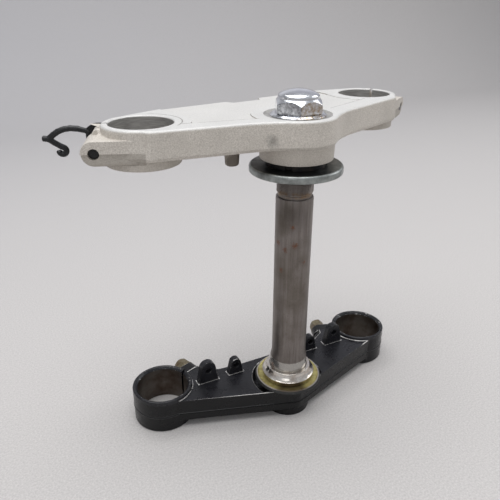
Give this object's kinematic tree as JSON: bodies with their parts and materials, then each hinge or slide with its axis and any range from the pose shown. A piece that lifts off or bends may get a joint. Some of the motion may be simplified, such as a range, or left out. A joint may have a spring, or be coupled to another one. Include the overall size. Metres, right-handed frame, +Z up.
{
  "type": "motorcycle triple clamp",
  "caption": "Fork yoke assembly: black lower clamp with pressed steering stem, bearing race and seal, silver top clamp with cap nut, pinch bolts and cable guide.",
  "frame": {"origin": "steering axis at the plane that the lower clamp stands on", "axes": "+Z up along the steering axis, +Y towards the fork tubes, +X to the right of someone who looks along +Y"},
  "size_m": [0.2945, 0.115, 0.2622],
  "materials": {
    "black_casting": "satin black paint on cast aluminium, worn bright along the edges",
    "stem_steel": "turned steel, dull and lightly rusted",
    "bearing_steel": "ground and polished",
    "yellow_zinc": "yellow passivated zinc",
    "seal_rubber": "matt black rubber, flaked at the front",
    "olive_zinc": "dull olive zinc with some rust",
    "blue_zinc": "blue passivated zinc, satin",
    "dark_steel": "blackened steel",
    "bare_casting": "silver painted cast aluminium, fine grained",
    "bright_chrome": "bright chrome",
    "black_steel": "black paint, slightly glossy"
  },
  "bodies": {
    "root": {"lower_clamp": "black_casting", "steering_stem": "stem_steel", "lower_bearing_race": "bearing_steel", "lower_seal_shell": "yellow_zinc", "lower_seal_lip": "seal_rubber", "lower_pinch_bolt_left": "olive_zinc", "lower_pinch_bolt_right": "olive_zinc", "dust_cover": "blue_zinc", "adjuster_nut": "dark_steel", "lock_washer": "dark_steel", "lock_nut": "dark_steel", "top_clamp": "bare_casting", "stem_washer": "bright_chrome", "stem_nut": "bright_chrome", "top_pinch_bolt_left": "black_steel", "top_pinch_bolt_right": "black_steel", "cable_guide": "black_steel"}
  },
  "joints": []
}
